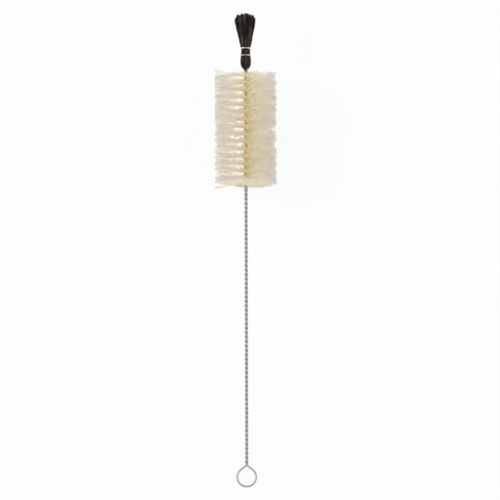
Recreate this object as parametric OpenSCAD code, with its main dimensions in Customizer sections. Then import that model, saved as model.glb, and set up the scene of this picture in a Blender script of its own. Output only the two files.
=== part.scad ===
// Laboratory bottle brush: one steel wire folded into a hanging eye and twisted on itself,
// pale bristles held between its two strands, and a black bristle tuft bound on the tip.
// The brush is drawn along +Y, with its axis at x = 0, z = 0 and its eye's end at y = 0.
// resting() then lays it down as it lies on a table, on the eye's end and the head's rim.

/* [Wire] */
// Diameter of the drawn wire
wire_d = 1.5; // [1.0:0.1:1.8]
// Length of one full turn of the bare stem's twist
stem_pitch = 7.51; // [7:0.01:11]
// Bare stem, from where the strands cross above the eye to the first pale bristles
stem_len = 234.1; // [180:0.1:300]
// Daylight between the two strands of the bare stem
strand_gap = 0.04; // [0.02:0.01:0.1]

/* [Hanging eye] */
// Clear width across the eye
eye_d = 14.3; // [11:0.1:20]
// Angle between each straight leg of the eye and the stem
leg_angle = 48; // [42:1:55]

/* [Brush head] */
// Diameter over the pale bristles
head_d = 52.2; // [40:0.2:64]
// Length of wire that holds the pale bristles
head_len = 96.5; // [70:0.5:120]
// Length of one full turn of the twist in the head
head_pitch = 12.53; // [11:0.01:15]
// Stretch over which the stem's tight twist opens into the head's
twist_ease = 8.3; // [6:0.1:12]
// Thickness of the bristle layer squeezed between the strands
layer_t = 0.4; // [0.3:0.05:0.6]
// Radius of the closed sheet of bristle roots round the wire
root_r = 4; // [3:0.1:6]
// Bundles of bristles in one turn, on each side of the wire
bundles_per_turn = 21; // [18:1:26]
// Thickness of a bundle at its tip
bundle_t = 0.8; // [0.6:0.1:1.4]
// Part of the rim's length that the bundles' tips fill
bundle_fill = 0.62; // [0.4:0.02:0.8]
// How far a bundle's tip leans along the wire, either way
bundle_lean = 1.3; // [0:0.1:1.5]
// Unevenness of the trimmed tips
head_ragged = 1.4; // [0:0.1:2.5]

/* [Tuft] */
// Length of the tuft, from the last pale bristles to its tips
tuft_len = 50.1; // [44:0.1:60]
// Diameter of the bulb where the bristles turn up round the wire's end
bulb_d = 8.9; // [8.4:0.1:10]
// Diameter of the tuft between its two bindings
waist_d = 8.1; // [7.6:0.1:9]
// Greatest diameter of the flared bristles
flare_d = 16.9; // [13:0.1:20]
// Locks of bristles that show round the tuft
locks = 13; // [9:1:16]
// Depth of the hollow between two locks at the tips
lock_depth = 0.9; // [0.2:0.1:1.2]
// Depth of the ragged end
tuft_ragged = 3.2; // [1:0.1:4]

/* [Bindings] */
// Diameter of the binding wire
binding_d = 1.1; // [0.8:0.1:1.2]
// From the last pale bristles to the lower binding
lower_binding_at = 14.2; // [13.6:0.1:16]
// From the lower binding to the upper one
binding_spacing = 6.1; // [5.2:0.1:8]
// How far the lower binding stands out of the tuft
binding_proud = 0.35; // [0.2:0.05:0.5]
// How much smaller in radius the upper binding is drawn
upper_draw = 0.25; // [0:0.05:0.4]
// Angle over which the two ends of a binding lie side by side
lap_angle = 40; // [20:5:60]

/* [Resting] */
// Depth of the flat that the brush's weight presses into the lowest bristles
flat_depth = 1.9; // [1:0.1:3]

/* [Hidden] */

// Facets: sides of a swept wire, its rings in a turn of the twist, and points round the tuft
wire_sides = 6;
rings_per_turn = 8;
eye_rings = 22;
leg_rings = 4;
binding_sides = 6;
binding_rings = 20;
round_points = 2 * locks;
tail_rings = 5;
flare_rings = 6;

// Clearance between pieces that bear on each other
fit = 0.05;

// Stations along the brush, from the eye's outer end
eye_r = (eye_d + wire_d) / 2;
eye_at = wire_d / 2 + eye_r;
neck_at = eye_at + eye_r / sin(leg_angle);
head_at = neck_at + stem_len;
head_end = head_at + head_len;
brush_len = head_end + tuft_len;
lower_at = head_end + lower_binding_at;
upper_at = lower_at + binding_spacing;
wire_end = lower_at - binding_d;

// Distance of a strand's middle from the brush's axis, and the radius that both strands sweep.
// A strand is straight between two of its rings, where its middle comes nearer by this share.
chord = cos(180 / rings_per_turn);
stem_strand_r = (wire_d + strand_gap) / 2 / chord;
head_strand_r = ((wire_d + layer_t) / 2 + fit) / chord;
strands_r = head_strand_r + wire_d / 2;

// Resting pose: the pitch at which the eye's end and the pressed rim of the head touch z = 0
head_r = head_d / 2;
rim_run = head_at - wire_d / 2;
rest_pitch = atan2(head_r, rim_run) - asin((flat_depth + wire_d / 2) / norm([head_r, rim_run]));

function smooth(t) = let (u = min(max(t, 0), 1)) u * u * (3 - 2 * u);
function blend(a, b, t) = a + (b - a) * t;
function unit(v) = v / norm(v);
function reversed(list) = [for (i = [len(list) - 1:-1:0]) list[i]];
function around(r, angle, s) = [r * sin(angle), s, r * cos(angle)];

// A repeatable unevenness from -1 to 1
function uneven(i, seed) = let (w = sin(i * 97.3 + seed * 41.7) * 127.1) 2 * (w - floor(w)) - 1;

// Turns of the twist between the neck and a place along the brush
rate_change = (1 / head_pitch - 1 / stem_pitch) / twist_ease;
function turns_at(s) =
    let (eased = min(max(s - head_at, 0), twist_ease))
    (min(s, head_at) - neck_at + eased) / stem_pitch + rate_change * eased * eased / 2
    + max(s - head_at - twist_ease, 0) / head_pitch;

// The place along the head where the twist has made a number of turns since head_at
eased_turns = turns_at(head_at + twist_ease) - turns_at(head_at);
function head_place(turns) = turns > eased_turns
    ? head_at + twist_ease + (turns - eased_turns) * head_pitch
    : head_at + (sqrt(1 / pow(stem_pitch, 2) + 2 * rate_change * turns) - 1 / stem_pitch)
        / rate_change;

// The twist is left-handed, so the angle falls on the way up the brush. The bristles lie
// square to the line between the two strands.
function strand_angle(s) = -360 * turns_at(s);
function bristle_angle(s) = strand_angle(s) + 90;

function two_triangles(a, b, c, d) = [[a, b, c], [a, c, d]];

// Walls between rings of points, closed by a flat cap at each end
module skin(rings) {
    n = len(rings[0]);
    last = len(rings) - 1;
    walls = [for (i = [0:last - 1], j = [0:n - 1])
        let (k = (j + 1) % n)
        for (face = two_triangles(i * n + j, (i + 1) * n + j, (i + 1) * n + k, i * n + k)) face];
    caps = [[for (j = [0:n - 1]) j], [for (j = [n - 1:-1:0]) last * n + j]];
    polyhedron([for (ring = rings) for (p = ring) p], concat(walls, caps), convexity = 10);
}

// A round wire along a path that never runs along the direction square
module swept(path, d, sides, square) {
    last = len(path) - 1;
    skin([for (i = [0:last])
        let (along = unit(path[min(i + 1, last)] - path[max(i - 1, 0)]))
        let (up = unit(square - along * (along * square)))
        let (across = cross(along, up))
        [for (j = [0:sides - 1])
            path[i] + d / 2 * (cos(360 * j / sides) * up + sin(360 * j / sides) * across)]]);
}

// Lays the brush down, with the middle of its length over the origin
module resting() {
    translate([0, -brush_len / 2 * cos(rest_pitch), wire_d / 2 * (1 - sin(rest_pitch))])
        rotate([rest_pitch, 0, 0])
            children();
}

// The table's depth below the axis, measured square to the brush
function table_at(s) = (wire_d / 2 + (s - wire_d / 2) * sin(rest_pitch)) / cos(rest_pitch);
function above_table(p) = [p.x, p.y, max(p.z, -table_at(p.y))];

// One strand from the neck to its cut end: side 0 is in front at the neck, side 1 behind
function strand_r(s) =
    blend(stem_strand_r, head_strand_r, smooth((s - head_at + twist_ease) / twist_ease));
function strand_point(s, side) = around(strand_r(s), strand_angle(s) + 180 * side, s);
stem_steps = round(stem_len / stem_pitch * rings_per_turn);
held_turns = turns_at(wire_end) - turns_at(head_at);
held_steps = round(held_turns * rings_per_turn);
function strand(side) = [
    for (i = [0:stem_steps - 1])
        strand_point(blend(neck_at, head_at, i / stem_steps), side),
    for (i = [0:held_steps])
        strand_point(head_place(held_turns * i / held_steps), side)
];

// One leg, a cubic curve from the eye's round to the neck, where it runs on as a strand
leg_handle = 0.33 * eye_r / tan(leg_angle);
function cubic(a, b, c, d, t) =
    a * pow(1 - t, 3) + b * 3 * t * pow(1 - t, 2) + c * 3 * t * t * (1 - t) + d * pow(t, 3);
function leg(side) =
    let (sign = 1 - 2 * side)
    let (start = [sign * eye_r * cos(leg_angle), eye_at + eye_r * sin(leg_angle), 0])
    let (start_way = [-sign * sin(leg_angle), cos(leg_angle), 0])
    let (neck = strand_point(neck_at, side))
    let (neck_way = unit([-sign * 2 * PI * stem_strand_r / stem_pitch, 1, 0]))
    [for (i = [1:leg_rings]) cubic(start, start + start_way * leg_handle,
        neck - neck_way * leg_handle, neck, i / (leg_rings + 1))];

eye_round = [for (i = [0:eye_rings])
    let (a = blend(leg_angle, -180 - leg_angle, i / eye_rings))
    [eye_r * cos(a), eye_at + eye_r * sin(a), 0]];

folded_wire = concat(reversed(strand(0)), reversed(leg(0)), eye_round, leg(1), strand(1));

module wire() {
    color("silver") resting() swept(folded_wire, wire_d, wire_sides, [0, 0, 1]);
}

// The bristles lie side by side in one layer between the strands, and the twist winds that
// layer into a screw. Past root_r it parts into bundles, one a side for every step.
head_turns = turns_at(head_end) - turns_at(head_at);
bundle_count = round(head_turns * bundles_per_turn);
function step_at(k) = head_place(head_turns * k / bundle_count);

// A point of the screw, r from the axis, raised by h off its middle surface
function screw_point(r, s, h) =
    let (a = bristle_angle(s))
    let (lead = head_pitch / (2 * PI))
    around(r, a, s) + h * [cos(a) * lead, r, -sin(a) * lead] / norm([r, lead]);

function root_ring(s) = [
    screw_point(root_r, s, layer_t),
    screw_point(0, s, layer_t / 2),
    screw_point(-root_r, s, layer_t),
    screw_point(-root_r, s, -layer_t),
    screw_point(0, s, -layer_t / 2),
    screw_point(root_r, s, -layer_t)
];

function bundle_tip(k, side) =
    let (sign = 1 - 2 * side)
    let (r = sign * (head_r - head_ragged * (1 + uneven(k, side + 1)) / 2))
    let (half = bundle_fill / 2)
    let (t = -sign * bundle_t / 2)
    let (lean = [0, bundle_lean * uneven(k, side + 5), 0])
    [for (corner = [[-half, t], [half, t], [half, -t], [-half, -t]])
        above_table(screw_point(r, step_at(k + 0.5 + corner[0]), corner[1]) + lean)];

module bristles() {
    points = concat(
        [for (k = [0:bundle_count]) for (p = root_ring(step_at(k))) p],
        [for (k = [0:bundle_count - 1], side = [0, 1]) for (p = bundle_tip(k, side)) p]);
    first_tip = 6 * (bundle_count + 1);
    sheet = [for (k = [0:bundle_count - 1], j = [0, 1, 3, 4])
        let (low = 6 * k + j)
        for (face = two_triangles(low, low + 6, low + 7, low + 1)) face];
    bundles = [for (k = [0:bundle_count - 1], side = [0, 1])
        let (low = 6 * k + (side == 0 ? 5 : 2))
        let (back = side == 0 ? -5 : 1)
        let (root = [low, low + 6, low + 6 + back, low + back])
        let (tip = first_tip + 8 * k + 4 * side)
        for (face = concat(
            [for (j = [0:3])
                let (k = (j + 1) % 4)
                for (half = two_triangles(root[j], root[k], tip + k, tip + j)) half],
            two_triangles(tip, tip + 1, tip + 2, tip + 3))) face];
    last = 6 * bundle_count;
    ends = [[0, 1, 5], [1, 2, 4], [2, 3, 4], [1, 4, 5]];
    far_ends = [for (face = ends) [last + face[2], last + face[1], last + face[0]]];
    faces = concat(sheet, bundles, ends, far_ends);
    color("wheat") resting() polyhedron(points, faces, convexity = 10);
}

// The tuft is bristles folded up over the wire's end. It has a socket for the strands, two
// tails that wind down between them, a groove for each binding, and a flared ragged end.
socket_r = strands_r / cos(180 / round_points) + 2 * fit;
socket_end = wire_end + wire_d / 2;
socket_wall = 0.5;
root_at = head_end + 5;
tail_len = 3.6;
bulb_at = blend(root_at, lower_at, 0.45);
bulb_r = bulb_d / 2;
waist_r = waist_d / 2;
flare_r = flare_d / 2;
lower_binding_r = waist_r + binding_proud - binding_d / 2;
upper_binding_r = lower_binding_r - upper_draw;
groove_slope = 0.25;
lapped_side = binding_d / 2 + fit;

// The tuft's points keep their place round the axis above the root, and wind below it
function tuft_angle(j) = 360 * j / round_points + bristle_angle(root_at);
function tail_drop(j) = tail_len * blend(0.04, 1, pow(abs(cos(360 * j / round_points)), 3));
function tail_ring(r, t) = [for (j = [0:round_points - 1])
    let (s = root_at - t * tail_drop(j))
    around(r, 360 * j / round_points + bristle_angle(s), s)];

function tuft_ring(r, s, hollow = 0) = [for (j = [0:round_points - 1])
    around(r - hollow * (j % 2), tuft_angle(j), s)];

// Behind, where a binding's ends lie side by side, its groove is wider
function from_behind(a) = abs(180 - (a - 360 * floor(a / 360)));
function groove_half(a) =
    lapped_side * (1 + smooth((1.5 * lap_angle - from_behind(a)) / (0.7 * lap_angle)));
function groove_ring(r, at, side, extra) = [for (j = [0:round_points - 1])
    around(r, tuft_angle(j), at + side * (groove_half(tuft_angle(j)) + extra))];
function groove(at, r, below_r, above_r) = [
    groove_ring(below_r, at, -1, groove_slope),
    groove_ring(r - binding_d / 2 - fit, at, -1, 0),
    groove_ring(r - binding_d / 2 - fit, at, 1, 0),
    groove_ring(above_r, at, 1, groove_slope)
];

flare = [for (i = [2:flare_rings - 1])
    let (t = i / flare_rings)
    let (r = blend(waist_r - upper_draw, flare_r, sin(90 * pow(t, 1.2))))
    tuft_ring(r, blend(upper_at, brush_len - tuft_ragged, t), lock_depth * t)];

// The uneven end. The tips stand highest in the middle, and a lock's above the hollows.
function end_ring(share) = [for (j = [0:round_points - 1])
    let (drop = pow(share, 3) + (j % 2) * 0.35 + 0.2 * uneven(j, 10 * share))
    around(share * (flare_r - lock_depth * (j % 2)), tuft_angle(j),
        brush_len - tuft_ragged * max(drop, 0))];

module tuft() {
    color([0.14, 0.12, 0.12]) resting() skin(concat(
        [tuft_ring(socket_r, socket_end)],
        [for (i = [0:tail_rings]) tail_ring(socket_r, i / tail_rings)],
        [for (i = [tail_rings:-1:0]) tail_ring(socket_r + socket_wall, i / tail_rings)],
        [tuft_ring(blend(socket_r, bulb_r, 0.62), blend(root_at, bulb_at, 0.3)),
         tuft_ring(blend(socket_r, bulb_r, 0.9), blend(root_at, bulb_at, 0.65)),
         tuft_ring(bulb_r, bulb_at)],
        groove(lower_at, lower_binding_r, blend(bulb_r, waist_r, 0.35), waist_r),
        groove(upper_at, upper_binding_r, waist_r, waist_r - upper_draw / 2),
        flare,
        [for (share = [1, 0.8, 0.5, 0.2]) end_ring(share)]));
}

// A binding is one turn of wire round the tuft, its two ends lying side by side behind
module binding(at, r) {
    path = [for (i = [0:binding_rings])
        let (a = blend(-180 - lap_angle / 2, 180 + lap_angle / 2, i / binding_rings))
        let (aside = lapped_side * smooth((abs(a) - 180 + lap_angle) / (0.3 * lap_angle)))
        around(r, a, at + sign(a) * aside)];
    color("khaki") resting() swept(path, binding_d, binding_sides, [0, 1, 0]);
}

module lower_binding() {
    binding(lower_at, lower_binding_r);
}

module upper_binding() {
    binding(upper_at, upper_binding_r);
}

wire();
bristles();
tuft();
lower_binding();
upper_binding();
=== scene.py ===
"""Bottle brush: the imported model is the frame, and finer pieces stand for its solids.

Lengths are millimetres, as in part.scad, and to_row() turns them into metres in the row
frame. The brush is drawn upright along s, from its eye to its tuft, with x to the right
and v towards the viewer, and to_row() lays it down on the floor. A bearing is the angle
round the brush from v, and is positive to the right.
"""
import math
from types import SimpleNamespace

import bpy
import numpy as np
from mathutils import Matrix, Vector


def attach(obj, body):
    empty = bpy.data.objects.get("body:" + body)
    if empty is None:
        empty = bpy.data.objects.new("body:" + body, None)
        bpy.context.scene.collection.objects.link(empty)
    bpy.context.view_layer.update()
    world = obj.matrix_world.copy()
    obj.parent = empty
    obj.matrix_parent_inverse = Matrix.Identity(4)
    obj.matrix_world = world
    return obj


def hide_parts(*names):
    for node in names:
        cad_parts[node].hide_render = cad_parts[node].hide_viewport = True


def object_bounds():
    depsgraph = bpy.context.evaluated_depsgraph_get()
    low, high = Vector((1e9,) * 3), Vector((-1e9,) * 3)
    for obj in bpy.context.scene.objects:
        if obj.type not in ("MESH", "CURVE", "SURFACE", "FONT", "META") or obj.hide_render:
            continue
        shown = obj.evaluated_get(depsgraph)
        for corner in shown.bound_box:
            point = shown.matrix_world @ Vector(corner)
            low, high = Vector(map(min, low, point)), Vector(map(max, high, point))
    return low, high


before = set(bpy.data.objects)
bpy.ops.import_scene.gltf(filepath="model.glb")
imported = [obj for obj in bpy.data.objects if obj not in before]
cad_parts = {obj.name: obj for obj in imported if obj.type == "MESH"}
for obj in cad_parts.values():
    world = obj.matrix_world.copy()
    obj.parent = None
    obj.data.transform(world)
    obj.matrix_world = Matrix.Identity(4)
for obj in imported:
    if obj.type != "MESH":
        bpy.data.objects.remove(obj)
cad_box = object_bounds()

# The box that the visual pieces keep within, just inside the CAD model's, in metres
INSIDE = 1e-6
CAD_LOW = np.array(cad_box[0]) + INSIDE
CAD_HIGH = np.array(cad_box[1]) - INSIDE

MM = 0.001
TURN = 2 * math.pi
# Bearings of the brush's two sides, and the direction along it
LEFT, RIGHT = -TURN / 4, TURN / 4
ALONG = np.array([0, 1, 0])
# Steps in the tables that give a station from the turns of the twist
FINE_STEPS = 8000
# Seeds of the random draws
TUFT_SEED, BRISTLE_SEED, TOOTH_SEED, VEIL_SEED = 5, 11, 12, 13

# Sizes of the part, as in part.scad
WIRE_D = 1.5
STRAND_GAP = 0.04
STEM_PITCH = 7.51
STEM_LEN = 234.1
EYE_D = 14.3
LEG_ANGLE = math.radians(48)
HEAD_D = 52.2
HEAD_LEN = 96.5
HEAD_PITCH = 12.53
TWIST_EASE = 8.3
LAYER_T = 0.4
FIT = 0.05
TUFT_LEN = 50.1
BULB_D = 8.9
WAIST_D = 8.1
FLARE_D = 16.9
BINDING_D = 1.1
BINDING_PROUD = 0.35
UPPER_DRAW = 0.25
LAP_ANGLE = math.radians(40)
FLAT_DEPTH = 1.9

# Stations along the brush
EYE_R = (EYE_D + WIRE_D) / 2
EYE_AT = WIRE_D / 2 + EYE_R
NECK_AT = EYE_AT + EYE_R / math.sin(LEG_ANGLE)
HEAD_AT = NECK_AT + STEM_LEN
HEAD_END = HEAD_AT + HEAD_LEN
BRUSH_LEN = HEAD_END + TUFT_LEN
LOWER_AT = HEAD_END + 14.2
UPPER_AT = LOWER_AT + 6.1
WIRE_END = LOWER_AT - BINDING_D
ROOT_AT = HEAD_END + 5
BULB_AT = ROOT_AT + 0.45 * (LOWER_AT - ROOT_AT)

# Radii
HEAD_R = HEAD_D / 2
BULB_R = BULB_D / 2
WAIST_R = WAIST_D / 2
FLARE_R = FLARE_D / 2
STEM_STRAND_R = (WIRE_D + STRAND_GAP) / 2
HEAD_STRAND_R = (WIRE_D + LAYER_T) / 2 + FIT
LOWER_R = WAIST_R + BINDING_PROUD - BINDING_D / 2
UPPER_R = LOWER_R - UPPER_DRAW

# How the brush lies: pitched about X until the eye's end and the head's rim touch the floor
RIM_RUN = HEAD_AT - WIRE_D / 2
PITCH = math.atan2(HEAD_R, RIM_RUN) - math.asin(
    (FLAT_DEPTH + WIRE_D / 2) / math.hypot(HEAD_R, RIM_RUN))
SIN, COS = math.sin(PITCH), math.cos(PITCH)
LIFT = WIRE_D / 2 * (1 - SIN)


# ---------------------------------------------------------------- shared geometry

def to_row(points):
    """Metres in the row frame, from millimetres along the upright brush."""
    x, s, v = np.moveaxis(np.asarray(points, float), -1, 0)
    return MM * np.stack(
        [x, (s - BRUSH_LEN / 2) * COS - v * SIN, LIFT + s * SIN + v * COS], -1)


def smooth(t):
    """0 up to a t of 0, 1 from a t of 1, and eased between them."""
    t = np.clip(t, 0, 1)
    return t * t * (3 - 2 * t)


def blend(a, b, t):
    return a + (b - a) * t


def interpolate(at, pairs):
    """Values between those of (place, value) pairs."""
    return np.interp(at, *zip(*pairs))


def unit(v):
    return v / np.linalg.norm(v, axis=-1, keepdims=True)


def around(r, bearing, s):
    """Points at a radius, a bearing and a station."""
    r, bearing, s = np.broadcast_arrays(r, bearing, s)
    return np.stack([r * np.sin(bearing), s, r * np.cos(bearing)], -1)


RATE_CHANGE = (1 / HEAD_PITCH - 1 / STEM_PITCH) / TWIST_EASE


def turns_at(s):
    """Turns of the twist between the neck and a station."""
    s = np.asarray(s, float)
    eased = np.clip(s - HEAD_AT, 0, TWIST_EASE)
    return ((np.minimum(s, HEAD_AT) - NECK_AT + eased) / STEM_PITCH
            + RATE_CHANGE * eased * eased / 2
            + np.maximum(s - HEAD_AT - TWIST_EASE, 0) / HEAD_PITCH)


def strand_angle(s):
    """Bearing of one strand at a station. The other is opposite."""
    return -TURN * turns_at(s)


def bristle_angle(s):
    """Bearing of one row of bristles, which is square to the strands."""
    return strand_angle(s) + TURN / 4


def tube_walls(index):
    """Faces between the rings of tubes, from point numbers of shape (tubes, rings, sides)."""
    a, b = index[:, :-1], index[:, 1:]
    return np.stack([a, np.roll(a, -1, 2), np.roll(b, -1, 2), b], -1).reshape(-1, 4)


def tubes(paths, radii, sides, square):
    """Points and faces of closed round tubes along paths of shape (tubes, rings, 3).
    square is a direction that no path runs along, one for all or one for each tube."""
    n, rings, _ = paths.shape
    along = np.empty_like(paths)
    along[:, 1:-1] = paths[:, 2:] - paths[:, :-2]
    along[:, 0] = paths[:, 1] - paths[:, 0]
    along[:, -1] = paths[:, -1] - paths[:, -2]
    along = unit(along)
    square = np.broadcast_to(np.asarray(square, float), along.shape)
    up = unit(square - along * np.sum(along * square, -1, keepdims=True))
    across = np.cross(along, up)
    turn = TURN * np.arange(sides) / sides
    ring = (np.cos(turn)[:, None] * up[:, :, None, :]
            + np.sin(turn)[:, None] * across[:, :, None, :])
    points = paths[:, :, None, :] + radii[:, :, None, None] * ring
    index = np.arange(n * rings * sides).reshape(n, rings, sides)
    caps = np.concatenate([index[:, 0, ::-1], index[:, -1]])
    return points.reshape(-1, 3), [tube_walls(index), caps]


def mesh_piece(name, points, faces, material, node_name, smooth_shaded=True):
    """A piece on the root body that stands for a CAD node, from points in millimetres and a
    list of face arrays, each of one corner count. It is kept within the CAD model's box."""
    points = np.clip(to_row(points), CAD_LOW, CAD_HIGH)
    me = bpy.data.meshes.new(name)
    me.vertices.add(len(points))
    me.vertices.foreach_set("co", np.asarray(points, "f4").ravel())
    corners = np.concatenate([f.ravel() for f in faces])
    sizes = np.concatenate([np.full(len(f), f.shape[1]) for f in faces])
    starts = np.concatenate([[0], np.cumsum(sizes)[:-1]])
    me.loops.add(len(corners))
    me.loops.foreach_set("vertex_index", corners.astype("i4"))
    me.polygons.add(len(sizes))
    me.polygons.foreach_set("loop_start", starts.astype("i4"))
    me.polygons.foreach_set("use_smooth", np.full(len(sizes), smooth_shaded))
    me.update(calc_edges=True)
    me.materials.append(material)
    ob = bpy.data.objects.new(name, me)
    bpy.context.scene.collection.objects.link(ob)
    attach(ob, "root")
    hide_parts(node_name)
    return ob


def add_attribute(ob, name, values):
    """A number for each point, which the material reads by name."""
    ob.data.attributes.new(name, "FLOAT", "POINT").data.foreach_set(
        "value", np.asarray(values, "f4").ravel())


# ---------------------------------------------------------------- materials

# How deep a bump is, in metres
BUMP_DEPTH = 0.00002


def new_material(name):
    mat = bpy.data.materials.new(name)
    mat.use_nodes = True
    tree = mat.node_tree
    return mat, tree, tree.nodes["Principled BSDF"]


def node(tree, kind, **settings):
    """A shader node. A setting whose name starts with in_ is an input's value."""
    made = tree.nodes.new("ShaderNode" + kind)
    for key, value in settings.items():
        if key.startswith("in_"):
            made.inputs[key[3:].replace("_", " ")].default_value = value
        else:
            setattr(made, key, value)
    return made


def attribute(tree, name):
    return node(tree, "Attribute", attribute_name=name).outputs["Fac"]


def ramp(tree, fac, stops):
    """A colour ramp. A stop's colour is three numbers, or one for a grey."""
    made = node(tree, "ValToRGB")
    elements = made.color_ramp.elements
    while len(elements) < len(stops):
        elements.new(0.5)
    for element, (place, colour) in zip(elements, stops):
        element.position = place
        element.color = (*np.broadcast_to(colour, 3), 1)
    tree.links.new(fac, made.inputs["Fac"])
    return made.outputs["Color"]


def mix_colours(tree, fac, a, b):
    """Colour a where fac is 0 and b where it is 1. b is an output, or three numbers."""
    made = node(tree, "Mix", data_type="RGBA")
    tree.links.new(fac, made.inputs["Factor"])
    tree.links.new(a, made.inputs["A"])
    if isinstance(b, tuple):
        made.inputs["B"].default_value = (*b, 1)
    else:
        tree.links.new(b, made.inputs["B"])
    return made.outputs["Result"]


def noise(tree, scale, stretch=(1, 1, 1)):
    """Noise in the piece's own place, scale in lumps a metre, stretched along an axis."""
    place = node(tree, "TexCoord")
    mapping = node(tree, "Mapping", in_Scale=stretch)
    made = node(tree, "TexNoise", in_Scale=scale, in_Detail=3.0)
    tree.links.new(place.outputs["Object"], mapping.inputs["Vector"])
    tree.links.new(mapping.outputs["Vector"], made.inputs["Vector"])
    return made.outputs["Fac"]


def bump(tree, bsdf, height, strength):
    made = node(tree, "Bump", in_Strength=strength, in_Distance=BUMP_DEPTH)
    tree.links.new(height, made.inputs["Height"])
    tree.links.new(made.outputs["Normal"], bsdf.inputs["Normal"])


def steel():
    """Galvanised wire. Inside the head, where an attribute for it is 1, its colour turns golden:
    that gold is a painted reflection of the light from the bristles around it."""
    mat, tree, bsdf = new_material("galvanised_steel")
    bare = ramp(tree, noise(tree, 900), [
        (0.3, (0.36, 0.38, 0.395)), (0.55, (0.45, 0.47, 0.48)), (0.75, (0.52, 0.535, 0.535))])
    # The gold mixed in here is a painted reflection of the bristles' light, not the wire's own
    # colour
    colour = mix_colours(tree, attribute(tree, "painted_reflection"), bare, (0.80, 0.66, 0.40))
    rough = ramp(tree, noise(tree, 1600), [(0.3, 0.50), (0.7, 0.66)])
    bsdf.inputs["Metallic"].default_value = 1
    tree.links.new(colour, bsdf.inputs["Base Color"])
    tree.links.new(rough, bsdf.inputs["Roughness"])
    bump(tree, bsdf, noise(tree, 4000, stretch=(1, 0.25, 1)), 0.12)
    return mat


def binding_metal():
    """Pale brassy wire, darker where the attribute dull is 1."""
    mat, tree, bsdf = new_material("binding_metal")
    grain = noise(tree, 1200)
    bright = ramp(tree, grain, [(0.3, (0.70, 0.61, 0.43)), (0.7, (0.88, 0.83, 0.70))])
    darker = ramp(tree, grain, [(0.3, (0.44, 0.39, 0.27)), (0.7, (0.57, 0.53, 0.42))])
    colour = mix_colours(tree, attribute(tree, "dull"), bright, darker)
    rough = ramp(tree, noise(tree, 2500), [(0.3, 0.12), (0.7, 0.24)])
    bsdf.inputs["Metallic"].default_value = 1
    tree.links.new(colour, bsdf.inputs["Base Color"])
    tree.links.new(rough, bsdf.inputs["Roughness"])
    bump(tree, bsdf, noise(tree, 5000, stretch=(0.3, 1, 1)), 0.2)
    return mat


def pale_bristle():
    """Golden at the root, greyish white further out, and grey at the very tip: that grey is
    painted shade on the tips along the rim. reach is 0 at the wire, 1 at the rim, and shade
    differs from bristle to bristle."""
    mat, tree, bsdf = new_material("pale_bristle")
    # The grey stop at reach 1 is painted shade on the bristles' tips along the rim
    colour = ramp(tree, attribute(tree, "reach"), [
        (0.0, (0.997, 0.965, 0.81)), (0.35, (0.997, 0.971, 0.845)),
        (0.7, (0.975, 0.943, 0.87)), (0.93, (0.915, 0.892, 0.855)), (1.0, (0.68, 0.67, 0.66))])
    tone = node(tree, "HueSaturation")
    spread = node(tree, "MapRange", in_To_Min=0.985, in_To_Max=1.003)
    tree.links.new(attribute(tree, "shade"), spread.inputs["Value"])
    tree.links.new(spread.outputs["Result"], tone.inputs["Value"])
    tree.links.new(colour, tone.inputs["Color"])
    tree.links.new(tone.outputs["Color"], bsdf.inputs["Base Color"])
    bsdf.inputs["Roughness"].default_value = 0.5
    bsdf.inputs["Specular IOR Level"].default_value = 0.35
    return mat


def black_bristle():
    """Black at shade 0, brownish above it, and grey at shade 1."""
    mat, tree, bsdf = new_material("black_bristle")
    colour = ramp(tree, attribute(tree, "shade"), [
        (0.0, (0.003, 0.002, 0.0016)), (0.4, (0.010, 0.0065, 0.0055)),
        (0.7, (0.034, 0.022, 0.018)), (0.85, (0.08, 0.056, 0.046)), (1.0, (0.24, 0.22, 0.20))])
    tree.links.new(colour, bsdf.inputs["Base Color"])
    bsdf.inputs["Roughness"].default_value = 0.4
    bsdf.inputs["Specular IOR Level"].default_value = 0.32
    return mat


STEEL, BINDING = steel(), binding_metal()
PALE, BLACK = pale_bristle(), black_bristle()


# ---------------------------------------------------------------- wire

WIRE_SIDES = 14
STEPS_A_TURN = 28
EYE_STEPS = 73
LEG_STEPS = 12
# Handles of a leg's Bezier curve, as a share of the eye's tangent from there to the neck
LEG_HANDLE = 0.33
# How far into the head the painted golden reflection starts, and over what length it comes and
# goes
REFLECTION_FROM = 1
REFLECTION_OVER = 3


def strand_r(s):
    return blend(STEM_STRAND_R, HEAD_STRAND_R, smooth((s - HEAD_AT + TWIST_EASE) / TWIST_EASE))


def strand_point(s, side):
    return around(strand_r(s), strand_angle(s) + math.pi * side, s)


def even_in_turns(start, end, steps_a_turn):
    """Stations between two others, the twist turning as far from each to the next."""
    fine = np.linspace(start, end, FINE_STEPS)
    turns = turns_at(fine)
    count = int(round((turns[-1] - turns[0]) * steps_a_turn))
    return np.interp(np.linspace(turns[0], turns[-1], count + 1), turns, fine)


def leg(side):
    """The Bezier curve from the eye to the neck, where the twist begins, without its ends."""
    sign = 1 - 2 * side
    handle = LEG_HANDLE * EYE_R / math.tan(LEG_ANGLE)
    a = np.array([sign * EYE_R * math.cos(LEG_ANGLE), EYE_AT + EYE_R * math.sin(LEG_ANGLE), 0])
    b = a + handle * np.array([-sign * math.sin(LEG_ANGLE), math.cos(LEG_ANGLE), 0])
    d = strand_point(NECK_AT, side)
    c = d - handle * unit(np.array([-sign * TURN * STEM_STRAND_R / STEM_PITCH, 1, 0]))
    t = (np.arange(1, LEG_STEPS + 1) / (LEG_STEPS + 1))[:, None]
    return a * (1 - t) ** 3 + 3 * b * t * (1 - t) ** 2 + 3 * c * t * t * (1 - t) + d * t ** 3


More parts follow.
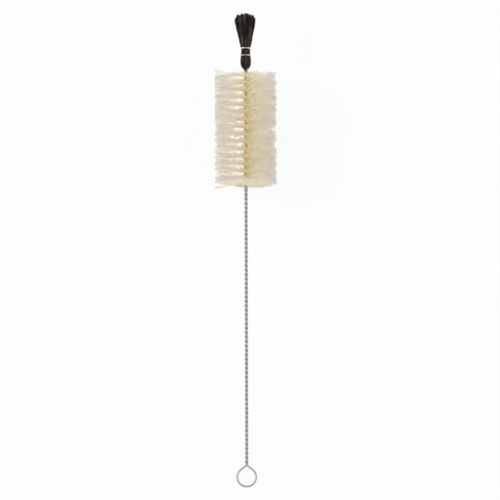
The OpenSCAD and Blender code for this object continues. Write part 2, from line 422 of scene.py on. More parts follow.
def build_wire():
    """One wire: down one strand, round the eye, and back up the other."""
    stations = even_in_turns(NECK_AT, WIRE_END, STEPS_A_TURN)
    turn = np.linspace(LEG_ANGLE, -math.pi - LEG_ANGLE, EYE_STEPS)
    eye = np.stack([EYE_R * np.cos(turn), EYE_AT + EYE_R * np.sin(turn), np.zeros(EYE_STEPS)], -1)
    path = np.concatenate([strand_point(stations, 0)[::-1], leg(0)[::-1], eye, leg(1),
                           strand_point(stations, 1)])
    radii = np.full((1, len(path)), WIRE_D / 2)
    points, faces = tubes(path[None], radii, WIRE_SIDES, (0, 0, 1))
    ob = mesh_piece("twisted_wire", points, faces, STEEL, "wire")
    s = path[:, 1]
    # Where the wire inside the head gets the painted golden reflection of the bristles
    painted_reflection = smooth((s - HEAD_AT - REFLECTION_FROM) / REFLECTION_OVER) * smooth((HEAD_END - s) / REFLECTION_OVER)
    add_attribute(ob, "painted_reflection", np.repeat(painted_reflection, WIRE_SIDES))


# ---------------------------------------------------------------- pale bristles

BRISTLE_PIECES = 4
BRISTLE_RINGS = 5
BRISTLE_SIDES = 3
BUNDLES = 3700
# Bristles in a bundle
A_BUNDLE = 7
# Radii of a bristle at its root and its tip
BRISTLE_ROOT_R = 0.022
BRISTLE_TIP_R = 0.054
# How far from the brush's middle its root is
BRISTLE_FROM = 0.15
# A bundle's bearing about its row, in radians (standard deviation)
BUNDLE_SCATTER = 0.07
# Standard deviation of the bundles' lean along the brush, as a share of their length
LEAN_SD = 0.09
# What share of that the bundles at the front and back have, where the rows keep tighter,
# and how fast it grows to the whole towards the right
FRONT_LEAN = 0.4
RIGHT_RISE = 2.5
# How far the tips of a patch of a row may be from their place along the brush, and such a
# patch: its length, and how many there are to a turn
ROW_DRIFT = 0.9
DRIFT_PATCH = (5, 6)
# How far within the head's ends the tips keep, what the left adds to that, and what is
# added where the camera's tilt would show tips past the end, at its back or its front
LOW_KEEP, LOW_LEFT_KEEP, LOW_BACK_KEEP = 3.2, 0.6, 3.2
HIGH_KEEP, HIGH_LEFT_KEEP, HIGH_FRONT_KEEP = 2.4, 2.0, 4.2
# How far bundles fall short of the head's radius, at least and by chance (standard
# deviation), and how much longer they are at the left, where the rim is flush
RIM_SHORT = 0.03
BUNDLE_LENGTH_SD = 0.14
LEFT_LONG = 0.4
# No bristle's middle line comes nearer to the head's radius than this
RIM_CLEAR = 0.05
# Patches of shorter bundles: their length and how many to a turn, the noise below which
# there is none, and their depth at a noise of one above that
NOTCH_PATCH = (1.7, 10)
NOTCH_FROM = 0.15
NOTCH_DEEP = 1.3
# The rim's teeth: how far apart they are, the deepest by the distance into the head, the
# power that makes most of them shallow, and how far they run past the head's ends
TOOTH_STEP = 0.8
TOOTH_DEPTHS = [(0, 3.2), (25, 2.5), (45, 1.8), (60, 1.2), (HEAD_LEN, 1.9)]
TOOTH_POWER = 3
TOOTH_MARGIN = 8
# Sines of the bearings at which the teeth start and are full
TOOTH_SIDE = (0.8, 0.95)
# How far along the brush the camera's tilt moves what is a millimetre nearer to it
VIEW_SLANT = 0.16
# Bundles at the head's ends that stand away from it: where along the brush their tips are,
# at which bearing, and how many
END_STRAYS = [
    (HEAD_END + 1.9, LEFT, 5), (HEAD_END + 1.3, LEFT - 0.12, 3), (HEAD_END - 0.3, LEFT + 0.25, 2),
    (HEAD_END - 1.9, LEFT + 0.03, 4), (HEAD_END - 2.5, LEFT - 0.1, 3),
    (HEAD_END - 0.2, RIGHT, 3), (HEAD_END - 1.0, RIGHT - 0.2, 2), (HEAD_END - 1.5, RIGHT + 0.2, 2),
    (HEAD_AT - 1.5, LEFT, 5), (HEAD_AT - 0.9, LEFT + 0.1, 3), (HEAD_AT + 0.2, LEFT - 0.1, 3),
    (HEAD_AT + 1.8, RIGHT, 2), (HEAD_AT + 1.2, RIGHT - 0.25, 1)]
# How far within the head's ends such bundles are rooted, how their bearings and places
# scatter (standard deviations), and how much shorter than the head's radius they are
END_ROOTS = 1.4
END_SCATTER = (0.04, 0.2)
END_SHORT = (0.1, 0.9)
# Bundles that veil a gap between rows: its station, their bearing, and how many, and how
# their bearings and places scatter (standard deviations)
VEILS = [(HEAD_END - 3.9, -0.85, 6), (HEAD_END - 11.0, -0.6, 9), (HEAD_END - 36.3, -0.6, 6),
         (HEAD_END - 42.6, -0.8, 4)]
VEIL_SCATTER = (0.08, 0.6)
# When the nearest bundle is picked: millimetres that a radian off counts for, and that
# keep a bundle from being picked twice
BEARING_WORTH = 3
TAKEN = 1000
# A bristle's root about its bundle's: in turns along the row, and in bearing (standard
# deviation, in radians)
ROOT_TURNS = 0.035
ROOT_SCATTER = 0.35
BRISTLE_LENGTH_SD = 0.15
# Strays: their share of the bristles, and how much shorter they are at most
STRAY_SHARE = 0.009
STRAY_SHORT = 3
# How far tips wander from their bundle, and middles bow, for a stray and for the others
# (standard deviations)
WANDER = (1.6, 0.45)
WANDER_POWER = 1.6
BOW = (0.7, 0.2)
# How soon along its length a bristle has joined its bundle, and from where and over what
# share of its length the bundle leans
TOGETHER_RATE = 1.4
FAN_FROM = 0.27
FAN_OVER = 0.6
# How far above the floor tips lie that would pass through it, and how far they splay
# sideways, as a share of how far they bend
FLOOR_CLEAR = 0.12
SPLAY = 0.6
# The bristles' mean shade, and its standard deviation
BRISTLE_SHADE = 0.5
BRISTLE_SHADE_SD = 0.2

HEAD_TURNS = turns_at(HEAD_END) - turns_at(HEAD_AT)


def station_at_turns(turns):
    """The station in the head at some turns of the twist from the head's low end."""
    fine = np.linspace(HEAD_AT, HEAD_END, FINE_STEPS)
    return np.interp(turns, turns_at(fine) - turns_at(HEAD_AT), fine)


def patchy(rng, s, bearing, along, sectors):
    """Smooth noise round the head, from -1 to 1, in patches of a length and a share of a turn."""
    rows = int(HEAD_LEN / along) + 3
    grid = rng.uniform(-1, 1, (rows, sectors))
    u = np.clip((s - HEAD_AT) / along, 0, rows - 2)
    w = (bearing / TURN * sectors) % sectors
    i, j = u.astype(int), w.astype(int) % sectors
    fu, fw = smooth(u - i), smooth(w - np.floor(w))
    k = (j + 1) % sectors
    return ((grid[i, j] * (1 - fw) + grid[i, k] * fw) * (1 - fu)
            + (grid[i + 1, j] * (1 - fw) + grid[i + 1, k] * fw) * fu)


def leftness(bearing):
    return np.maximum(-np.sin(bearing), 0)


def keep_to_head(lean, s, bearing):
    """Leans, cut back until the bundles' tips keep within the head's ends."""
    left = leftness(bearing)
    back = left * np.maximum(-np.cos(bearing), 0)
    front = left * np.maximum(np.cos(bearing), 0)
    low = HEAD_AT + LOW_KEEP + LOW_LEFT_KEEP * left ** 2 + LOW_BACK_KEEP * back
    high = HEAD_END - HIGH_KEEP - HIGH_LEFT_KEEP * left ** 2 - HIGH_FRONT_KEEP * front
    return np.clip(lean, (low - s) / HEAD_R, (high - s) / HEAD_R)


def make_bundles(rng):
    """Bundles in two rows between the wire's strands: their roots, bearings and leans."""
    turns = HEAD_TURNS * (np.arange(BUNDLES) + rng.uniform(0, 1, BUNDLES)) / BUNDLES
    side = np.arange(BUNDLES) % 2
    s = station_at_turns(turns)
    bearing = bristle_angle(s) + math.pi * side + rng.normal(0, BUNDLE_SCATTER, BUNDLES)
    rightness = np.sin(bearing)
    spread = np.where(rightness < 0, rightness ** 2, smooth(RIGHT_RISE * rightness))
    lean = LEAN_SD * rng.normal(0, 1, BUNDLES) * blend(FRONT_LEAN, 1, spread)
    lean += ROW_DRIFT * patchy(rng, s, bearing, *DRIFT_PATCH) / HEAD_R
    return SimpleNamespace(turns=turns, side=side, s=s, bearing=bearing,
                           lean=keep_to_head(lean, s, bearing), straight=np.zeros(BUNDLES))


def teeth(s, bearing):
    """How far the teeth cut into bundles with their tips at a station and bearing."""
    rng = np.random.default_rng(TOOTH_SEED)
    at = np.arange(HEAD_AT - TOOTH_MARGIN, HEAD_END + TOOTH_MARGIN, TOOTH_STEP)
    deep = interpolate(at - HEAD_AT, TOOTH_DEPTHS)
    cuts = deep * rng.uniform(0, 1, (2, len(at))) ** TOOTH_POWER
    seen_at = s + VIEW_SLANT * HEAD_R * np.cos(bearing)
    cut = np.where(np.sin(bearing) > 0, np.interp(seen_at, at, cuts[1]),
                   np.interp(seen_at, at, cuts[0]))
    start, full = TOOTH_SIDE
    return cut * smooth((np.abs(np.sin(bearing)) - start) / (full - start))


def cut_bundles(rng, bundles):
    """Lengths of the bundles, uneven at the rim."""
    tip_s = bundles.s + bundles.lean * HEAD_R
    notch = np.maximum(patchy(rng, tip_s, bundles.bearing, *NOTCH_PATCH) - NOTCH_FROM, 0)
    longest = HEAD_R - RIM_SHORT + LEFT_LONG * leftness(bundles.bearing) ** 2
    bundles.long = (longest - NOTCH_DEEP * notch - teeth(tip_s, bundles.bearing)
                    - np.abs(rng.normal(0, BUNDLE_LENGTH_SD, BUNDLES)))


def nearest_bundles(bundles, s, bearing, count):
    """The bundles, none picked before, that are nearest to a station and bearing."""
    off_bearing = np.abs((bundles.bearing - bearing + math.pi) % TURN - math.pi)
    away = np.abs(bundles.s - s) + BEARING_WORTH * off_bearing + TAKEN * bundles.straight
    return np.argsort(away)[:count]


def aim_bundles(bundles, k, bearing, tip_s):
    """Bundles k run straight from their roots to tips at a bearing and a station."""
    bundles.bearing[k] = bearing
    bundles.lean[k] = (tip_s - bundles.s[k]) / HEAD_R
    bundles.straight[k] = 1


def stand_ends_away(rng, bundles):
    """A few bundles at the ends of the head stand away from it."""
    bearing_sd, place_sd = END_SCATTER
    for tip_at, bearing, count in END_STRAYS:
        root_at = np.clip(tip_at, HEAD_AT + END_ROOTS, HEAD_END - END_ROOTS)
        k = nearest_bundles(bundles, root_at, bearing, count)
        bearings = bearing + rng.normal(0, bearing_sd, count)
        aim_bundles(bundles, k, bearings, tip_at + rng.normal(0, place_sd, count))
        bundles.long[k] = HEAD_R - rng.uniform(*END_SHORT, count)


def veil_gaps(bundles):
    """A few bundles at the front left veil some of the gaps between the rows."""
    rng = np.random.default_rng(VEIL_SEED)
    bearing_sd, place_sd = VEIL_SCATTER
    for gap_at, bearing, count in VEILS:
        k = nearest_bundles(bundles, gap_at, bearing, count)
        tip_at = gap_at - VIEW_SLANT * HEAD_R * math.cos(bearing)
        bearings = bearing + rng.normal(0, bearing_sd, count)
        aim_bundles(bundles, k, bearings, tip_at + rng.normal(0, place_sd, count))


def keep_within_rim(points):
    """Points past the head's rim are moved in to it."""
    over = np.maximum(np.hypot(points[..., 0], points[..., 2]) / (HEAD_R - RIM_CLEAR), 1)
    points[..., 0] /= over
    points[..., 2] /= over
    return points


def above_floor(points):
    """Bristle tips that would pass through the floor lie down on it, splayed sideways."""
    x, s, v = np.moveaxis(points, -1, 0)
    lowest = (FLOOR_CLEAR - LIFT - s * SIN) / COS
    under = np.maximum(lowest - v, 0)
    points[..., 2] = np.maximum(v, lowest)
    points[..., 0] += SPLAY * under * np.sign(x)
    return points


def bristle_paths(rng, bundles):
    """Each bristle runs from its own root into its bundle, and on with that to the tip."""
    count = BUNDLES * A_BUNDLE
    own_bundle = np.repeat(np.arange(BUNDLES), A_BUNDLE)
    turns = bundles.turns[own_bundle] + rng.uniform(-ROOT_TURNS, ROOT_TURNS, count)
    root_s = station_at_turns(np.clip(turns, 0, HEAD_TURNS))
    root_bearing = (bristle_angle(root_s) + math.pi * bundles.side[own_bundle]
                    + rng.normal(0, ROOT_SCATTER, count))
    long = bundles.long[own_bundle] - np.abs(rng.normal(0, BRISTLE_LENGTH_SD, count))
    stray = rng.uniform(0, 1, count) < STRAY_SHARE
    long -= stray * rng.uniform(0, STRAY_SHORT, count)
    wander = np.where(stray, *WANDER)[:, None] * rng.normal(0, 1, (count, 2))
    bow = np.where(stray, *BOW)[:, None] * rng.normal(0, 1, (count, 2))

    t = np.linspace(0, 1, BRISTLE_RINGS)[None, :]
    r = BRISTLE_FROM + (long[:, None] - BRISTLE_FROM) * t
    bearing = bundles.bearing[own_bundle][:, None]
    own = around(r, root_bearing[:, None], root_s[:, None])
    fan = blend(smooth((t - FAN_FROM) / FAN_OVER), t, bundles.straight[own_bundle][:, None])
    lean = bundles.lean[own_bundle][:, None] * HEAD_R * fan
    shared = around(r, bearing, bundles.s[own_bundle][:, None] + lean)
    sideways = around(1.0, bearing + TURN / 4, 0.0)

    def aside(amount):
        return amount[:, None, :1] * sideways + amount[:, None, 1:] * ALONG

    together = smooth(t * TOGETHER_RATE)[..., None]
    paths = (own * (1 - together) + shared * together
             + aside(wander) * (t ** WANDER_POWER)[..., None]
             + aside(bow) * np.sin(math.pi * t)[..., None])
    return above_floor(keep_within_rim(paths))


def build_bristles():
    """The head's bristles, dealt out over some pieces of a size."""
    rng = np.random.default_rng(BRISTLE_SEED)
    bundles = make_bundles(rng)
    cut_bundles(rng, bundles)
    stand_ends_away(rng, bundles)
    veil_gaps(bundles)
    paths = bristle_paths(rng, bundles)
    radii = np.broadcast_to(
        blend(BRISTLE_ROOT_R, BRISTLE_TIP_R, np.linspace(0, 1, BRISTLE_RINGS)), paths.shape[:2])
    reach = np.hypot(paths[..., 0], paths[..., 2]) / HEAD_R
    shade = np.clip(rng.normal(BRISTLE_SHADE, BRISTLE_SHADE_SD, len(paths)), 0, 1)
    order = rng.permutation(len(paths))
    for k, share in enumerate(np.array_split(order, BRISTLE_PIECES)):
        points, faces = tubes(paths[share], radii[share], BRISTLE_SIDES, ALONG)
        ob = mesh_piece(f"pale_bristles_{k + 1}", points, faces, PALE,
                        "bristles", smooth_shaded=False)
        add_attribute(ob, "reach", np.repeat(reach[share].ravel(), BRISTLE_SIDES))
        add_attribute(ob, "shade", np.repeat(shade[share], BRISTLE_SIDES * BRISTLE_RINGS))


# ---------------------------------------------------------------- tuft

# Hairs are the tuft's black bristles: those on its outside, and those inside it
OUTER_HAIRS, INNER_HAIRS = 900, 1500
HAIRS = OUTER_HAIRS + INNER_HAIRS
HAIR_RINGS = 13
HAIR_SIDES = 3
# Radii of a hair: at its root, where its slow taper ends, and at its last ring
HAIR_ROOT_R = 0.15
HAIR_TAPER_R = 0.12
HAIR_TIP_R = 0.06
# From what share of the tuft's radius the outer hairs are, and up to what share of its
# section the inner ones
OUTER_FROM = 0.9
INNER_TO = 0.82
# Radii of the tuft's outside at stations along it, from the fold up to the tips
TUFT_OUTLINE = [
    (ROOT_AT - 4, 1.1), (ROOT_AT - 2.6, 1.8), (ROOT_AT - 1.4, 2.95), (ROOT_AT - 0.6, 3.5),
    (ROOT_AT + 0.3, 3.95), (ROOT_AT + 1.6, 4.3), (BULB_AT - 0.7, BULB_R),
    (BULB_AT + 1.5, BULB_R - 0.05), (LOWER_AT - 1.2, WAIST_R + 0.05), (LOWER_AT, WAIST_R - 0.25),
    (UPPER_AT, WAIST_R - UPPER_DRAW - 0.25), (UPPER_AT + 3, WAIST_R + 0.65),
    (BRUSH_LEN - 11.4, FLARE_R - 0.7), (BRUSH_LEN - 6.3, FLARE_R + 0.1),
    (BRUSH_LEN, FLARE_R + 0.1)]
# Locks that the tips gather in, spread like a sunflower's seeds, the scatter of their
# bearings (standard deviation), and what share of the way to them the hairs go
LOCKS = 64
GOLDEN_ANGLE = 2.39996
LOCK_SCATTER = 0.12
GATHER = 0.68
# How far the tips fall short of the tuft's end, from its left side to its right
COLUMN_DROPS = [1.5, 0.9, 0.5, 0.0, 2.2, 0.1, 0.0, 1.6, 0.2, 0.0, 0.1, 0.2, 1.0, 0.4, 1.3, 0.2,
                0.9, 1.4]
# How far the longest tips are past the tuft's end, how far short the rim's locks fall, and
# the power by which that grows from the middle outwards
TIP_PAST = 0.3
ROUND_DROP, ROUND_POWER = 4.6, 8
# How far tips fall short by chance (standard deviations): a lock's, and a hair's
LOCK_DROP_SD = 0.6
HAIR_DROP_SD = 0.4
# How far short a hair falls by its distance from its lock, the power of that distance, and
# the least and most share of it that counts
OFF_LOCK_DROP, OFF_LOCK_POWER = 6, 1.2
OFF_LOCK_SHARE = (0.5, 1.2)
# Hairs that end early: their share, how far short they fall at most, the least share of
# that, and how far out of the tuft they turn there, as a share of their distance from its
# middle, by a power of the place along them
EARLY_SHARE = 0.16
EARLY_DROP = 14
EARLY_LEAST = 0.1
TURN_OUT = (0.04, 0.2)
TURN_OUT_POWER = 5
# The outer hairs start FOLD_LOW below the root, and lower by a share FOLD_ADDS of their
# fold's depth. That is FOLD_DEPTH at most, a share FOLD_AT_SIDES of it at two opposite
# sides, and varies by chance down to a share FOLD_LEAST
FOLD_LOW = 1.6
FOLD_ADDS = 0.6
FOLD_DEPTH = 3.6
FOLD_AT_SIDES = 0.04
FOLD_LEAST = 0.75
INNER_START = LOWER_AT - 2
# Where along the brush the hairs start going to their locks and have come to them, and over
# what length above the upper binding they come free to wander
GATHER_AT = UPPER_AT + 4
GATHERED_AT = BRUSH_LEN - 4
FREE_OVER = 26
# How far hairs wander, as shares of the tuft's radius (standard deviations): steadily, and
# in waves of so many millimetres, which fade by a share towards the tip
WILD_SD = 0.05
WAVE_SD = 0.065
WAVE_LENGTH = (9, 18)
WAVE_FADE = 0.7
# How far out hairs may reach, as a share of the tuft's radius, and what the flare adds
REACH = 1.02
REACH_ADDS = 0.05
# How far the tuft bends to the right above the upper binding, and over what length
BEND = -0.45
BEND_OVER = 28
# Shades: the mean, the standard deviations from hair to hair, from lock to lock and along a
# lock, and the lightest that isn't grey
SHADE = 0.36
HAIR_SHADE_SD = 0.2
LOCK_SHADE_SD = 0.15
ALONG_SHADE_SD = 0.26
LIGHTEST = 0.88
# Grey hairs: their shade, the share of them by chance, and how far below the tuft's end
# they start to turn grey and over what length
GREY = 0.96
GREY_SHARE = 0.01
GREY_BELOW = 15
GREY_OVER = 6
# The lock of grey hairs at the front: its tips' place in x, half of its width, and how far
# in front of the brush's middle they are at least
GREY_LOCK_X = -0.6
GREY_LOCK_HALF = 0.5
GREY_LOCK_FRONT = 3
# The tuft's packed middle: its ends, its radius as a share of the tuft's, and its rings
# up to the lower binding and above it
CORE_BOTTOM = ROOT_AT - 1.8
CORE_TOP = BRUSH_LEN - 15
CORE_SHARES = [(ROOT_AT, 0.93), (UPPER_AT, 0.93), (CORE_TOP, 0.55)]
CORE_SIDES = 40
CORE_RINGS_BELOW = 14
CORE_RINGS_ABOVE = 12


def tuft_profile(s):
    """Radius of the tuft's outside at a station."""
    return interpolate(s, TUFT_OUTLINE)


def section_place(share, bearing):
    """Places in the tuft's section, from a share of its radius and a bearing."""
    return share[:, None] * np.stack([np.sin(bearing), np.cos(bearing)], -1)


def gather_hairs(rng):
    """Each hair has a place in the round tuft, and the nearest lock's, for its tip."""
    bearing = rng.uniform(0, TURN, HAIRS)
    share = np.concatenate([rng.uniform(OUTER_FROM, 1, OUTER_HAIRS),
                            np.sqrt(rng.uniform(0, INNER_TO, INNER_HAIRS))])
    own = section_place(share, bearing)
    k = np.arange(LOCKS)
    lock_share = np.sqrt((k + 0.5) / LOCKS)
    locks = section_place(lock_share, GOLDEN_ANGLE * k + rng.normal(0, LOCK_SCATTER, LOCKS))
    apart = np.linalg.norm(own[:, None] - locks[None], axis=-1)
    lock = np.argmin(apart, 1)
    return SimpleNamespace(bearing=bearing, own=own, lock=lock, gathered=locks[lock],
                           lock_share=lock_share[lock], off_lock=apart[np.arange(HAIRS), lock])


def column_drop(hairs):
    """How far tips fall short in the column that they stand in, seen from the front."""
    x, v = np.moveaxis(blend(hairs.own, hairs.gathered, GATHER) + hairs.wild[:, 0], -1, 0)
    facing = bristle_angle(ROOT_AT)
    across = FLARE_R * (x * math.cos(facing) + v * math.sin(facing))
    columns = np.linspace(-FLARE_R, FLARE_R, len(COLUMN_DROPS))
    return np.interp(across, columns, COLUMN_DROPS)


def end_hairs(rng, hairs):
    """Where along the brush the hairs start and end."""
    lock_drop = np.abs(rng.normal(0, LOCK_DROP_SD, LOCKS))
    hairs.early = (rng.uniform(0, 1, HAIRS) < EARLY_SHARE) * rng.uniform(EARLY_LEAST, 1, HAIRS)
    hairs.wild = rng.normal(0, WILD_SD, (HAIRS, 1, 2))
    hairs.tip = (BRUSH_LEN + TIP_PAST - ROUND_DROP * hairs.lock_share ** ROUND_POWER
                 - lock_drop[hairs.lock] - column_drop(hairs)
                 - OFF_LOCK_DROP * hairs.off_lock ** OFF_LOCK_POWER
                 * rng.uniform(*OFF_LOCK_SHARE, HAIRS)
                 - np.abs(rng.normal(0, HAIR_DROP_SD, HAIRS)) - EARLY_DROP * hairs.early)
    fold = (FOLD_DEPTH * blend(FOLD_AT_SIDES, 1, np.abs(np.cos(hairs.bearing)) ** 3)
            * rng.uniform(FOLD_LEAST, 1, HAIRS))
    hairs.start = np.where(np.arange(HAIRS) < OUTER_HAIRS,
                           ROOT_AT - FOLD_LOW - FOLD_ADDS * fold, INNER_START)


def hair_places(rng, hairs, s, t):
    """Where the hairs are in the tuft's section along their length, as shares of its radius."""
    gather = GATHER * smooth((s - GATHER_AT) / (GATHERED_AT - GATHER_AT))[..., None]
    free = smooth((s - UPPER_AT) / FREE_OVER)[..., None]
    wave = (rng.normal(0, WAVE_SD, (HAIRS, 1, 2)) * free * (1 - WAVE_FADE * t ** 4)[..., None]
            * np.sin(TURN * (s / rng.uniform(*WAVE_LENGTH, (HAIRS, 1))
                             + rng.uniform(0, 1, (HAIRS, 1))))[..., None])
    q = (hairs.own[:, None] * (1 - gather) + hairs.gathered[:, None] * gather
         + hairs.wild * free ** 2 + wave)
    reach = REACH + REACH_ADDS * free ** 3
    q /= np.maximum(np.linalg.norm(q, axis=-1, keepdims=True) / reach, 1)
    turn_out = rng.uniform(*TURN_OUT, (HAIRS, 1)) * (hairs.early > 0)[:, None]
    return q * (1 + (turn_out * t ** TURN_OUT_POWER * free[..., 0])[..., None])


def hair_shades(rng, hairs, paths):
    """Shades along the hairs, which differ by hair and by lock, and some grey ends."""
    x, s, v = np.moveaxis(paths, -1, 0)
    lock_shade = (rng.normal(0, LOCK_SHADE_SD, (LOCKS, 1))
                  + rng.normal(0, ALONG_SHADE_SD, (LOCKS, HAIR_RINGS)))
    shade = np.clip(rng.normal(SHADE, HAIR_SHADE_SD, (HAIRS, 1)) + lock_shade[hairs.lock],
                    0, LIGHTEST)
    grey = rng.uniform(0, 1, HAIRS) < GREY_SHARE
    in_lock = np.abs(x[:, -1] - GREY_LOCK_X) < GREY_LOCK_HALF
    grey |= in_lock & (v[:, -1] > GREY_LOCK_FRONT)
    greying = grey[:, None] * smooth((s - BRUSH_LEN + GREY_BELOW) / GREY_OVER)
    return blend(shade, GREY, greying)


def build_tuft():
    """The tuft's hairs, drawn in at the bindings and gathered into locks at the flare."""
    rng = np.random.default_rng(TUFT_SEED)
    hairs = gather_hairs(rng)
    end_hairs(rng, hairs)
    t = np.linspace(0, 1, HAIR_RINGS)[None, :]
    s = blend(hairs.start[:, None], hairs.tip[:, None], t)
    q = hair_places(rng, hairs, s, t)
    # Below the root the hairs wind with the twist
    wound = bristle_angle(np.minimum(s, ROOT_AT))
    paths = around(tuft_profile(s) * np.linalg.norm(q, axis=-1),
                   np.arctan2(q[..., 0], q[..., 1]) + wound, s)
    paths[..., 0] += BEND * smooth((s - UPPER_AT) / BEND_OVER)
    radii = np.where(t < 1, blend(HAIR_ROOT_R, HAIR_TAPER_R, t), HAIR_TIP_R)
    square = around(1.0, hairs.bearing + wound[:, 0] + TURN / 4, 0.0)[:, None, :]
    points, faces = tubes(paths, np.broadcast_to(radii, s.shape), HAIR_SIDES, square)
    ob = mesh_piece("tuft_bristles", points, faces, BLACK, "tuft")
    shades = hair_shades(rng, hairs, paths)
    add_attribute(ob, "shade", np.repeat(shades.ravel(), HAIR_SIDES))


def build_tuft_core():
    """The tuft's packed middle, which shows only as dark depth between the hairs."""
    stations = np.concatenate([np.linspace(CORE_BOTTOM, LOWER_AT, CORE_RINGS_BELOW),
                               np.linspace(LOWER_AT + 1, CORE_TOP, CORE_RINGS_ABOVE)])
    turn = TURN * np.arange(CORE_SIDES) / CORE_SIDES
    core_r = tuft_profile(stations) * interpolate(stations, CORE_SHARES)
    points = around(core_r[:, None], turn[None, :], stations[:, None])
    index = np.arange(len(stations) * CORE_SIDES).reshape(1, len(stations), CORE_SIDES)
    faces = [tube_walls(index), index[:, 0, ::-1], index[:, -1]]
    ob = mesh_piece("tuft_core", points.reshape(-1, 3), faces, BLACK, "tuft")
    add_attribute(ob, "shade", np.zeros(index.size))


# ---------------------------------------------------------------- bindings

BINDING_STEPS = 120
BINDING_SIDES = 16
# Over what share of the lap a binding's ends move aside for each other
LAP_EASE = 0.3


def build_binding(name, at, r, dull, node_name):
    """One turn of wire round the tuft, its ends lapped side by side at the back."""
    half = math.pi + LAP_ANGLE / 2
    bearing = np.linspace(-half, half, BINDING_STEPS)
    into_lap = (np.abs(bearing) - math.pi + LAP_ANGLE) / (LAP_EASE * LAP_ANGLE)
    aside = (BINDING_D / 2 + FIT) * smooth(into_lap)
    path = around(r, bearing, at + np.sign(bearing) * aside)
    radii = np.full((1, BINDING_STEPS), BINDING_D / 2)
    points, faces = tubes(path[None], radii, BINDING_SIDES, ALONG)
    ob = mesh_piece(name, points, faces, BINDING, node_name)
    add_attribute(ob, "dull", np.full(len(points), dull))


build_wire()
build_bristles()
build_tuft()
build_tuft_core()
build_binding("lower_binding_wire", LOWER_AT, LOWER_R, 1.0, "lower_binding")
build_binding("upper_binding_wire", UPPER_AT, UPPER_R, 0.0, "upper_binding")


# ---------------------------------------------------------------- floor, light and camera

# The floor and the background show as this white
WHITE = 0.99
# Half of the floor's width, in metres, and what share of its look is an even glow
FLOOR_HALF = 3.0
GLOW_SHARE = 0.92
# Where the lamps point to, and how wide they are, in metres
LIT_AT = (0, 0.05, 0)
LAMP_SIZE = 0.7
# Light bounces on between the bristles many times, which is what makes their roots golden
BOUNCES = 24
# The camera's tilt from square above the brush towards its handle, its roll, its distance
# in metres, its lens if it weren't tilted, and the point that it looks at
TILT = math.radians(9)
ROLL = math.radians(-0.15)
DISTANCE = 10.0
LENS = 853.4
LOOK_AT = (3.2, BRUSH_LEN / 2 - 0.3, 0)


def largest(tree, *values):
    """The largest of some node outputs."""
    result = values[0]
    for value in values[1:]:
        made = node(tree, "Math", operation="MAXIMUM")
        tree.links.new(result, made.inputs[0])
        tree.links.new(value, made.inputs[1])
        result = made.outputs[0]
    return result


def mix_shaders(tree, fac, a, b, target):
    made = node(tree, "MixShader")
    tree.links.new(fac, made.inputs["Fac"])
    tree.links.new(a, made.inputs[1])
    tree.links.new(b, made.inputs[2])
    tree.links.new(made.outputs[0], target)


def pale_floor():
    """Pale, but mostly an even white glow to the camera and in the wire's reflections."""
    mat, tree, bsdf = new_material("pale_floor")
    bsdf.inputs["Base Color"].default_value = (0.9, 0.9, 0.9, 1)
    bsdf.inputs["Roughness"].default_value = 0.9
    bsdf.inputs["Specular IOR Level"].default_value = 0
    glow = node(tree, "Emission", in_Color=(1, 1, 1, 1), in_Strength=WHITE)
    rays = node(tree, "LightPath").outputs
    seen = largest(
        tree, rays["Is Camera Ray"], rays["Is Glossy Ray"], rays["Is Transmission Ray"])
    share = node(tree, "Math", operation="MULTIPLY")
    share.inputs[1].default_value = GLOW_SHARE
    tree.links.new(seen, share.inputs[0])
    surface = tree.nodes["Material Output"].inputs["Surface"]
    mix_shaders(tree, share.outputs[0], bsdf.outputs[0], glow.outputs[0], surface)
    return mat


def build_floor():
    h = FLOOR_HALF
    me = bpy.data.meshes.new("floor")
    me.from_pydata([(-h, -h, 0), (h, -h, 0), (h, h, 0), (-h, h, 0)], [], [(0, 1, 2, 3)])
    me.materials.append(pale_floor())
    ob = bpy.data.objects.new("floor", me)
    bpy.context.scene.collection.objects.link(ob)


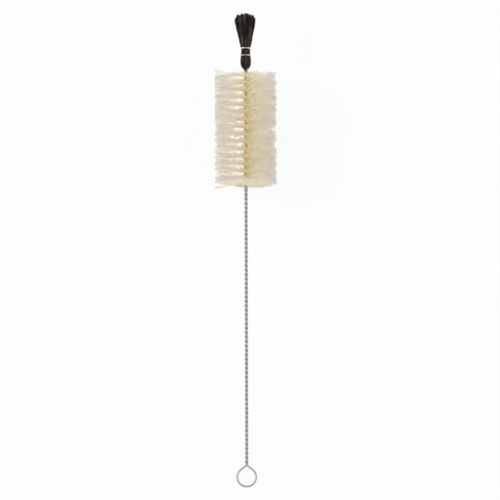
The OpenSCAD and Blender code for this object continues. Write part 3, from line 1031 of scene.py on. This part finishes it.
def build_lamp(name, place, power):
    data = bpy.data.lights.new(name, "AREA")
    data.shape = "DISK"
    data.size = LAMP_SIZE
    data.energy = power
    ob = bpy.data.objects.new(name, data)
    bpy.context.scene.collection.objects.link(ob)
    ob.location = place
    ob.rotation_euler = (Vector(LIT_AT) - Vector(place)).to_track_quat("-Z", "Y").to_euler()


def build_world():
    """A soft room, brighter all round than overhead, which shows white in the background."""
    world = bpy.data.worlds.new("studio")
    world.use_nodes = True
    tree = world.node_tree
    place = node(tree, "TexCoord")
    axes = node(tree, "SeparateXYZ")
    tree.links.new(place.outputs["Generated"], axes.inputs[0])
    sky = ramp(tree, axes.outputs["Z"], [
        (0.0, 1.0), (0.45, 1.0), (0.8, 0.62), (0.93, 0.47), (1.0, 0.2)])
    light = tree.nodes["Background"]
    tree.links.new(sky, light.inputs["Color"])
    white = node(tree, "Background", in_Color=(1, 1, 1, 1), in_Strength=WHITE)
    seen = node(tree, "LightPath").outputs["Is Camera Ray"]
    surface = tree.nodes["World Output"].inputs["Surface"]
    mix_shaders(tree, seen, light.outputs[0], white.outputs[0], surface)
    return world


def build_camera():
    """The view from the front, up along the brush."""
    back = Vector((0, -math.sin(PITCH + TILT), math.cos(PITCH + TILT)))
    up = Vector((0, math.cos(PITCH + TILT), math.sin(PITCH + TILT)))
    up = Matrix.Rotation(ROLL, 3, back) @ up
    right = up.cross(back)
    place = Vector(to_row(LOOK_AT)) + DISTANCE * back
    axes = Matrix((right, up, back)).transposed().to_4x4()
    camera = bpy.data.objects.new("camera", bpy.data.cameras.new("camera"))
    camera.data.sensor_width = 36
    camera.data.lens = LENS / math.cos(TILT)
    camera.data.clip_start = 0.05
    camera.matrix_world = Matrix.Translation(place) @ axes
    bpy.context.scene.collection.objects.link(camera)
    return camera


build_floor()
build_lamp("key", (-1.4, 0.3, 0.9), 12)
build_lamp("fill", (1.4, 0.2, 0.8), 5.5)

scene = bpy.context.scene
scene.world = build_world()
scene.camera = build_camera()
scene.view_settings.view_transform = "Standard"
scene.cycles.max_bounces = BOUNCES
scene.cycles.diffuse_bounces = BOUNCES
